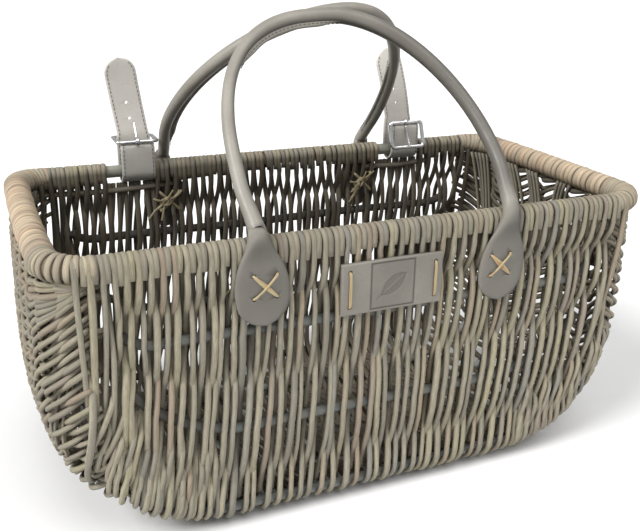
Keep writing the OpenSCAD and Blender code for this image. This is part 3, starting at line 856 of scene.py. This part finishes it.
def stitch_row(strands, line, normal, pitch=3.6, length=2.3, radius=0.34, lift=0.12):
    """Stitches along a line of points that lie on a surface."""
    line = np.asarray(line, float)
    normal = np.broadcast_to(np.asarray(normal, float), line.shape)
    s = np.r_[0, np.cumsum(np.linalg.norm(np.diff(line, axis=0), axis=1))]
    at = pitch * 0.4
    while at + length < s[-1]:
        t = np.linspace(at, at + length, 5)
        p = np.c_[[np.interp(t, s, line[:, k]) for k in range(3)]].T
        n = unit(np.c_[[np.interp(t, s, normal[:, k]) for k in range(3)]].T)
        rise = lift + 0.22 * np.sin(np.linspace(0, math.pi, 5))
        p = p + n * rise[:, None]
        strands.add(p, radius, radius * 0.8, np.cross(unit(p[-1] - p[0]), n[2]), 0.5, 0, sides=6)
        at += pitch


# ---- handles ----

PADDLE_HALF = ((0, 0.4), (0.5, 4.3), (1.5, 7.2), (3, 9.9), (5, 12.5), (8, 15.1), (12, 17.2), (17, 18.4),
               (23, 18.7), (29, 18.4), (35, 17.3), (41, 15.3), (47, 12.5), (53, 9.4), (59, 7.5), (64, 6.6))
LACE = 15.5


def tube_half(s, sizes):
    """Half thickness of a roll at the share s of its way round."""
    at, half = zip(*sizes)
    return np.interp(s, at, half)


def shade_away(obj, amount, low=0.0, low_z=0.0, right=0.0):
    """Paints shade: darkens what faces away from the upper left, what lies below low_z, and the right leg."""
    mesh = obj.data
    count = len(mesh.vertices)
    co, normal = np.zeros(count * 3), np.zeros(count * 3)
    mesh.vertices.foreach_get("co", co)
    mesh.vertex_normals.foreach_get("vector", normal)
    toward = normal.reshape(-1, 3) @ unit(np.array([-0.62, -0.12, 0.78]))
    dark = amount * ease((0.35 - toward) / 0.8)
    if low:
        dark = dark + low * ease((low_z - co.reshape(-1, 3)[:, 2] * 1000) / 24)
    x, z = co.reshape(-1, 3)[:, 0] * 1000, co.reshape(-1, 3)[:, 2] * 1000
    dark = dark + right * ease((x + 30) / 100) * ease((z - 216) / 24)
    layer = mesh.attributes.get("shade") or mesh.attributes.new("shade", "FLOAT", "POINT")
    layer.data.foreach_set("value", np.clip(dark, 0, 0.9).astype(np.float32))


def handle(name, side, feet, top, lean_deg, nodes, sizes, seams, core):
    """Paddles, necks and roll in one piece. feet are (x, low, tilt); top lists the arch in its own plane."""
    lean = math.radians(lean_deg)

    def in_plane(u, v):
        return np.array([u, side * HINGE_Y - side * v * math.sin(lean), HINGE_Z + v * math.cos(lean)])

    y_flat = side * (WALL_Y + 1.7)

    def paddle(foot):
        """Stations from a paddle's lower edge up to the neck: place, half width, half thickness
        and squareness."""
        x, low, tilt = foot
        a = math.radians(tilt)
        out = []
        for s, half in PADDLE_HALF:
            t = ease((s - 44) / 20.0)
            place = (x - s * math.sin(a), y_flat + side * 0.9 * t, low + s * math.cos(a))
            out.append((*place, half, 1.55 + 2.4 * t, 4.5 - 2.2 * t))
        return out

    left, right = feet
    start, finish = paddle(left), paddle(right)[::-1]
    s = np.linspace(0, 1, len(top))
    rolls = [(*in_plane(u, v), r, r, 2.0) for (u, v), r in zip(top, tube_half(s, sizes))]
    table = np.array(start + rolls + finish)
    n0, n1 = len(start), len(finish)
    middle = spline(table[n0 - 3:len(table) - n1 + 3], 3.0)
    table = np.vstack([table[:n0 - 3], middle, table[len(table) - n1 + 3:]])
    tangent = unit(np.gradient(table[:, :3], axis=0))
    # the width lies in the wall's plane on the paddles and in the arch's plane above them
    flat = np.array([0, -side * 1.0, 0])
    arch_n = np.array([0, -side * math.cos(lean), -math.sin(lean)])
    stations = []
    for row, t in zip(table, tangent):
        w_up = ease((row[2] - 196) / 26.0)
        facing = unit(flat * (1 - w_up) + arch_n * w_up)
        w = unit(np.cross(facing, t))
        m = np.cross(t, w)
        stations.append((row[:3], w, m, row[3], row[3], row[4], max(row[5], 2.0)))
    co, faces = loft(stations, 24)
    mesh = mesh_from(name, co, faces)
    obj = finish_piece(name, mesh, SMOOTH_LEATHER, None, nodes)
    cutters = []
    for x, low, tilt in feet:
        for dx in (-LACE / 2, LACE / 2):
            for dz in (-LACE / 2, LACE / 2):
                cutters.append(((x + dx, y_flat, low + 27 + dz), (0, 1, 0), 1.45, 9))
    punch(obj, cutters)
    obj.data.materials.clear()
    obj.data.materials.append(SMOOTH_LEATHER)
    # painted shade on the handle's side away from the upper left, on the paddles below z 226 and on the front
    # handle's right leg
    shade_away(obj, 0.82 if side < 0 else 0.45, 0.34, 226, 0.66 if side < 0 else 0.1)
    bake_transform(obj)
    arch = table[n0 + 2:len(table) - n1 - 2]
    rope = Strands()
    rope.add(arch[:, :3], 2.9, 2.9, arch_n, 0.5, 0, sides=10)
    rope.build(name + "_rope", CANE, "rope_core", body_with(core), (core,))
    # seam flange on the inside of the arch, with its stitches
    t = unit(np.gradient(arch[:, :3], axis=0))
    inward = -unit(np.cross(t, arch_n))
    towards = (arch[:, :3].mean(0) - arch[:, :3]) * inward
    if towards.sum() < 0:
        inward = -inward
    s = np.linspace(0, 1, len(arch))
    strip, rows = Strands(), Strands()
    for first, last, reach in seams:
        part = (s > first) & (s < last)
        fade = ease((s[part] - first) / 0.05) * ease((last - s[part]) / 0.05)
        line, lie = arch[part], inward[part]
        out = line[:, 3] - 1.0 + (reach - 1.4) * fade
        # painted shade on the seam flange, more on its lower side
        strip.add(line[:, :3] + lie * out[:, None], 0.6 + reach * fade, 1.25, lie, 0.5, 0.15, sides=10,
                  square=4, under=0.35)
        for face in (-1, 1):
            sewn = line[:, :3] + lie * (out + 1.3)[:, None] + arch_n * face * 1.25
            stitch_row(rows, sewn, arch_n * face, pitch=3.4, length=2.1, radius=0.32)
    strip.build(name + "_seam", SMOOTH_LEATHER, "handle_leather", body_with(nodes[0]))
    rows.build(name + "_stitches", THREAD, "handle_leather", body_with(nodes[0]))


LEG_TOP = 40.0


def arch_keys(middle, left, right, top, square_left, square_right, tuck):
    """Keys of a roll in its own plane: two near-straight legs, and over them a quarter of a
    superellipse on each side of the middle. The legs tuck in toward their feet."""
    def quarter(sign, half, square, turns):
        power = 2.0 / square
        return [(middle + sign * half * math.cos(a) ** power,
                 LEG_TOP + (top - LEG_TOP) * math.sin(a) ** power) for a in turns]

    def leg(sign, half):
        return [(middle + sign * (half - tuck * (1 - v / LEG_TOP)), v) for v in (7, 20)]

    rise = np.linspace(0, math.pi / 2, 10)
    return (leg(-1, left) + quarter(-1, left, square_left, rise)
            + quarter(1, right, square_right, rise[-2::-1]) + leg(1, right)[::-1])


handle("front_handle", -1, ((-90, 156.8, 4.0), (88, 148, -5.0)), arch_keys(3, 100, 94, 171, 2.6, 1.9, 4), 43,
       ("front_handle_leather", "front_paddle_left", "front_paddle_right"),
       ((0, 6.0), (0.05, 5.2), (0.1, 4.7), (0.2, 4.3), (0.3, 4.4), (0.42, 5.6), (0.62, 5.9), (0.8, 5.2),
        (0.95, 5.2), (1, 5.8)),
       ((0.29, 0.53, 2.6),), "front_handle_core")
handle("back_handle", 1, ((-96.5, 152, 1.0), (87.5, 152, -5.0)), arch_keys(22, 121, 73, 172, 1.8, 2.2, 3), 42,
       ("back_handle_leather", "back_paddle_left", "back_paddle_right"),
       ((0, 5.0), (0.1, 4.6), (0.35, 5.4), (0.6, 5.7), (0.8, 4.6), (1, 5.2)),
       ((0.03, 0.50, 3.2), (0.74, 0.97, 1.8)), "back_handle_core")


# ---- raffia lacing ----

def strand_through(strands, keys, width=1.5, thick=0.55, tone=None):
    path = spline(keys, 1.0)
    strands.add(path, width, thick, (0, 0.01, 1) if abs(keys[0][0] - keys[-1][0]) > 3 else (1, 0.01, 0),
                rng.random() if tone is None else tone, 0, sides=6)


def cross_lacing(name, node, side, x, low):
    strands = Strands()
    cz = low + 27
    half = LACE / 2
    face = side * (WALL_Y + 3.3)
    inside = side * (MID_Y - 7.6)
    for turn in (-1, 1):
        for k in range(3):
            d = (k - 1) * 1.15
            lift = side * (0.9 + (0.9 if turn > 0 else 0))
            z0, z1 = cz - turn * half, cz + turn * half
            keys = [(x - half + d * 0.4, face - side * 4.5, z0 + d * 0.3),
                    (x - half + d * 0.4 + 0.2, face + side * 0.5, z0 + turn * 0.4),
                    (x + d * 0.5 + rng.normal(0, 0.3), face + lift, cz + d * 0.9),
                    (x + half + d * 0.4 - 0.2, face + side * 0.5, z1 - turn * 0.4),
                    (x + half + d * 0.4, face - side * 4.5, z1 + d * 0.3)]
            strand_through(strands, keys, 0.68, 0.45)
        z0, z1 = cz - turn * half, cz + turn * half
        keys = [(x - half, inside + side * 5, z0), (x - half, inside, z0),
                (x, inside - side * (1.2 + turn), cz),
                (x + half, inside, z1), (x + half, inside + side * 5, z1)]
        strand_through(strands, keys, 1.3, 0.7)
    for dx in (-half, half):
        for dz in (-half, half):
            keys = [(x + dx, face - side * 1.0, cz + dz), (x + dx, (face + inside) / 2, cz + dz),
                    (x + dx, inside + side * 0.5, cz + dz)]
            strand_through(strands, keys, 0.95, 0.95)
    # a knot with loose ends inside the wall
    knot = np.array([x - 5, inside - side * 3.0, cz + 1])
    for k in range(6):
        a = rng.uniform(0, 2 * math.pi)
        wide, tall = rng.uniform(2.5, 6.5), rng.uniform(2.0, 4.5)
        ring = [knot + np.array([wide * math.cos(a + b), -side * (0.5 + 0.8 * math.sin(2 * b)),
                                 tall * math.sin(a + 1.3 * b)]) for b in np.linspace(0, 4.2, 6)]
        strand_through(strands, ring, 1.15, 0.8)
    for a, far in ((-2.3, 21), (-2.05, 17), (-2.55, 13), (0.65, 17), (0.85, 12), (3.0, 11)):
        a += rng.normal(0, 0.12)
        bend = rng.uniform(-3, 3)
        keys = [knot, knot + np.array([far * 0.5 * math.cos(a) + bend, -side * 2.2, far * 0.5 * math.sin(a)]),
                knot + np.array([far * math.cos(a), -side * rng.uniform(0, 4), far * math.sin(a)])]
        strand_through(strands, keys, 1.0, 0.5)
    # the back wall's lacing takes the painted-shade copy of the raffia
    strands.build(name, STRAW if side < 0 else SHADED_STRAW, "straw_lacing", body_with(node), (node,))


cross_lacing("front_left_cross", "front_lacing_left", -1, -90, 157)
cross_lacing("front_right_cross", "front_lacing_right", -1, 88, 148)
cross_lacing("back_left_cross", "back_lacing_left", 1, -96.5, 152)
cross_lacing("back_right_cross", "back_lacing_right", 1, 87.5, 152)

# ---- label plate ----
LABEL_X, LABEL_Z, LABEL_W, LABEL_H = 2.0, 172.0, 77.0, 37.0
LABEL_HOLE_X, LABEL_HOLE_Z = LABEL_W / 2 - 6, LABEL_H / 2 - 6


def label_plate():
    step = 0.38
    nu, nv = int(LABEL_W / step), int(LABEL_H / step)
    u = np.linspace(-LABEL_W / 2, LABEL_W / 2, nu)
    v = np.linspace(-LABEL_H / 2, LABEL_H / 2, nv)
    uu, vv = np.meshgrid(u, v, indexing="ij")
    edge = np.minimum(LABEL_W / 2 - np.abs(uu), LABEL_H / 2 - np.abs(vv))
    height = 3.0 - 0.8 * (1 - ease(edge / 0.9))
    # the pressed square
    mark = 16.4
    d = np.maximum(np.abs(uu + 0.5), np.abs(vv)) - mark
    height -= 0.85 * np.exp(-(d / 0.6) ** 2)
    # a plain leaf: the overlap of two circles, turned, with a midrib and a stem
    a = math.radians(38)
    p, q = uu * math.cos(a) + vv * math.sin(a), -uu * math.sin(a) + vv * math.cos(a)
    inside = np.minimum(14.5 - np.hypot(p, q - 8.6), 14.5 - np.hypot(p, q + 8.6))
    leaf = ease((inside + 0.2) / 0.7)
    rib = np.exp(-(q / 0.45) ** 2) * (p > -11) * (p < 10)
    veins = np.exp(-((((p - np.abs(q) * 0.9) % 3.6) - 1.8) / 0.4) ** 2)
    height -= 0.6 * leaf * (1 - 0.75 * rib) * (1 - 0.35 * veins)
    stem = np.exp(-(q / 0.5) ** 2) * (p < -10.5) * (p > -15.5)
    height -= 0.5 * stem
    for su in (-1, 1):
        for sv in (-1, 1):
            r = np.hypot(uu - su * LABEL_HOLE_X, vv - sv * LABEL_HOLE_Z)
            height -= 2.4 * (1 - ease((r - 0.9) / 0.7))
    belly = 1.4 * (1 - (uu / (LABEL_W / 2)) ** 2) - 0.5
    sag = 0.9 * np.cos(uu / LABEL_W * math.pi)
    y = -(WALL_Y + 0.1) - height - belly
    front = np.c_[(uu + LABEL_X).ravel(), y.ravel(), (vv + LABEL_Z + sag).ravel()]
    rear = np.c_[(uu + LABEL_X).ravel(), (-(WALL_Y + 0.1) - belly).ravel(), (vv + LABEL_Z + sag).ravel()]
    i, j = np.meshgrid(np.arange(nu - 1), np.arange(nv - 1), indexing="ij")
    a0 = (i * nv + j).ravel()
    quads = np.c_[a0, a0 + nv, a0 + nv + 1, a0 + 1]
    total = nu * nv
    faces = [tuple(f) for f in quads] + [tuple(f[::-1] + total) for f in quads]
    rim = ([(k * nv) for k in range(nu)] + [(nu - 1) * nv + k for k in range(1, nv)]
           + [k * nv + nv - 1 for k in range(nu - 2, -1, -1)] + [k for k in range(nv - 2, 0, -1)])
    for k, a1 in enumerate(rim):
        b1 = rim[(k + 1) % len(rim)]
        faces.append((b1, a1, a1 + total, b1 + total))
    mesh = mesh_from("label", np.vstack([front, rear]), faces)
    # partly the darker tone of pressed leather, partly painted shade in the groove of the square and over the
    # recessed leaf
    pressed = 0.55 * np.exp(-(d / 0.7) ** 2) + 0.16 * (d < 0) + 0.22 * leaf * (1 - rib)
    layer = mesh.attributes.new("shade", "FLOAT", "POINT")
    layer.data.foreach_set("value", np.r_[pressed.ravel(), np.zeros(total)].astype(np.float32))
    finish_piece("label", mesh, LEATHER, body_with("label_plate"), ("label_plate",))


def label_lacing(name, node, sx):
    strands = Strands()
    x = LABEL_X + sx * LABEL_HOLE_X
    face, inside = -(WALL_Y + 3.2), -(MID_Y - 7.6)
    for y0, y1, lift in ((face, face + 4.5, -0.9), (inside, inside - 4.5, 0.9)):
        for k in range(3):
            d = (k - 1) * 0.75
            keys = [(x + d * 0.5, y1, LABEL_Z - LABEL_HOLE_Z),
                    (x + d * 0.7, y0 + lift * 0.3, LABEL_Z - LABEL_HOLE_Z + 0.8),
                    (x + d + rng.normal(0, 0.3), y0 + lift * rng.uniform(0.8, 1.5), LABEL_Z),
                    (x + d * 0.7, y0 + lift * 0.3, LABEL_Z + LABEL_HOLE_Z - 0.8),
                    (x + d * 0.5, y1, LABEL_Z + LABEL_HOLE_Z)]
            strand_through(strands, keys, 0.5, 0.4)
    for dz in (-LABEL_HOLE_Z, LABEL_HOLE_Z):
        strand_through(strands, [(x, face + 0.8, LABEL_Z + dz), (x, (face + inside) / 2, LABEL_Z + dz),
                                 (x, inside - 0.8, LABEL_Z + dz)], 0.95, 0.95)
    strands.build(name, STRAW, "straw_lacing", body_with(node), (node,))


label_plate()
label_lacing("label_left_lace", "label_lacing_left", -1)
label_lacing("label_right_lace", "label_lacing_right", 1)

# ---- straps and buckles ----
STRAP_HALF, TAIL_HALF, STRAP_T = 14.0, 13.0, 1.3
BAR_Y, BAR_Z, BUCKLE_DEPTH = 102.2, 232.5, 23.0
LOOP_MID = 8.3
TAIL_BASE, TAIL_TOP = 236.0, 299.0


def strap(name, node, x, tilt_deg, curve):
    tilt = math.tan(math.radians(tilt_deg))
    rows = []
    # folded edge behind the pivot bar, over it and down the inner side
    for z in (216, 221, 226):
        rows.append((x, BAR_Y + 2.9, z, STRAP_HALF - 0.4))
    fold = 1.45
    for a in np.linspace(0, math.pi, 9)[1:-1]:
        rows.append((x, BAR_Y + fold + fold * math.cos(a), BAR_Z - 4.3 + fold * math.sin(a),
                     STRAP_HALF - 0.2))
    for z in (227, 222, 217, 212):
        rows.append((x, HOOP_Y - LOOP_MID, z, STRAP_HALF))
    for a in np.linspace(math.pi, 2 * math.pi, 14):
        rows.append((x, HOOP_Y + LOOP_MID * math.cos(a), RIM_Z + LOOP_MID * math.sin(a), STRAP_HALF))
    for z in (211, 218, 226, 233):
        rows.append((x, HOOP_Y + LOOP_MID, z, STRAP_HALF))
    rows = np.array(rows)
    tail = []
    for z in np.linspace(238, TAIL_TOP, 34):
        up = z - TAIL_BASE
        tip = TAIL_TOP - z
        half = TAIL_HALF if tip > TAIL_HALF else math.sqrt(max(TAIL_HALF ** 2 - (TAIL_HALF - tip) ** 2, 0.3))
        tail.append((x - tilt * up, HOOP_Y + LOOP_MID + curve * math.sin(up / 63 * math.pi) * 2.2, z, half))
    rows = np.vstack([rows, tail])
    tangent = unit(np.gradient(rows[:, :3], axis=0))
    stations = []
    for row, t in zip(rows, tangent):
        w = unit(np.array([1.0, 0, 0]) - t[0] * t)
        m = np.cross(t, w)
        stations.append((row[:3], w, m, row[3], row[3], STRAP_T, 6.0))
    co, faces = loft(stations, 28)
    mesh = mesh_from(name, co, faces)
    obj = finish_piece(name, mesh, STRAP_LEATHER, None)
    cutters = [((x - tilt * up, HOOP_Y + LOOP_MID, TAIL_BASE + up), (0, 1, 0), 1.4, 10) for up in (13, 26)]
    punch(obj, cutters)
    obj.data.materials.clear()
    obj.data.materials.append(STRAP_LEATHER)
    # painted shade on the strap's side away from the upper left and on the loop below z 242
    shade_away(obj, 0.22, 0.34, 242)
    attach(obj, body_with(node))
    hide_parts(node)
    rows_s = Strands()
    for edge in (-1, 1):
        for face in (-1, 1):
            line, normal = [], []
            for row, (_, w, m, left, right, thick, _) in zip(rows, stations):
                if row[3] < 9:
                    continue
                line.append(row[:3] + w * edge * (row[3] - 2.1) + m * face * STRAP_T)
                normal.append(m * face)
            stitch_row(rows_s, line, normal, pitch=3.5, length=2.1, radius=0.3, lift=0.05)
    rows_s.build(name + "_stitches", THREAD, "strap_leather", body_with(node))
    return obj


def on_bar(x, turn_deg, u, r, lift=0.0):
    """A point of a buckle: u along the bar, r out from it, at the buckle's angle."""
    a = math.radians(turn_deg)
    return (x + u, BAR_Y + r * math.cos(a) - lift * math.sin(a), BAR_Z + r * math.sin(a) + lift * math.cos(a))


def buckle_frame(name, node, x, turn):
    half, corner = 16.4, 3.0
    pts = []
    for cu, cr, a0 in ((half - corner, BUCKLE_DEPTH - corner, 0), (-half + corner, BUCKLE_DEPTH - corner, 90),
                       (-half + corner, corner, 180), (half - corner, corner, 270)):
        for a in np.radians(np.linspace(a0, a0 + 90, 7)):
            pts.append((cu + corner * math.cos(a), cr + corner * math.sin(a)))
    dense = []
    for k, (u, r) in enumerate(pts):
        u2, r2 = pts[(k + 1) % len(pts)]
        n = max(1, int(math.hypot(u2 - u, r2 - r) / 2))
        for t in np.arange(n) / n:
            dense.append((u + (u2 - u) * t, r + (r2 - r) * t))
    path = np.array([on_bar(x, turn, u, r) for u, r in dense])
    a = math.radians(turn)
    up = (0, -math.sin(a), math.cos(a))
    strands = Strands()
    strands.add(path, 1.45, 1.8, up, 0.5, 0, sides=12, square=2.8, closed=True)
    strands.build(name, METAL, "buckle_metal", body_with(node), (node,))


def prong(name, node, x, turn, reach):
    strands = Strands()
    a = math.radians(turn)
    ring = np.array([on_bar(x, turn, 0, 2.7 * math.cos(b), 2.7 * math.sin(b))
                     for b in np.linspace(0, 2 * math.pi, 24, endpoint=False)])
    strands.add(ring, 1.8, 0.9, (1, 0, 0), 0.5, 0, sides=10, square=2.8, closed=True)
    keys = [on_bar(x, turn, 0, 3.2, 0), on_bar(x, turn, 0, 9, 0.5), on_bar(x, turn, 0, 15, 0.5),
            on_bar(x, turn, 0, reach, 0)]
    path = spline(keys, 0.9)
    taper = np.linspace(1.2, 0.7, len(path))
    strands.add(path, taper, taper * 0.9, (1, 0, 0), 0.5, 0, sides=10)
    strands.build(name, METAL, "buckle_metal", body_with(node), (node,))


LEFT_X, RIGHT_X = -121.5, 130.0
strap("left_strap_leather", "left_strap", LEFT_X, 8, 1.0)
strap("right_strap_leather", "right_strap", RIGHT_X, 14, -1.2)
buckle_frame("left_buckle", "left_buckle_frame", LEFT_X, 0)
buckle_frame("right_buckle", "right_buckle_frame", RIGHT_X, 250)
prong("left_prong", "left_buckle_prong", LEFT_X, 55, 18.5)
prong("right_prong", "right_buckle_prong", RIGHT_X, 242.2, BUCKLE_DEPTH - 0.5)
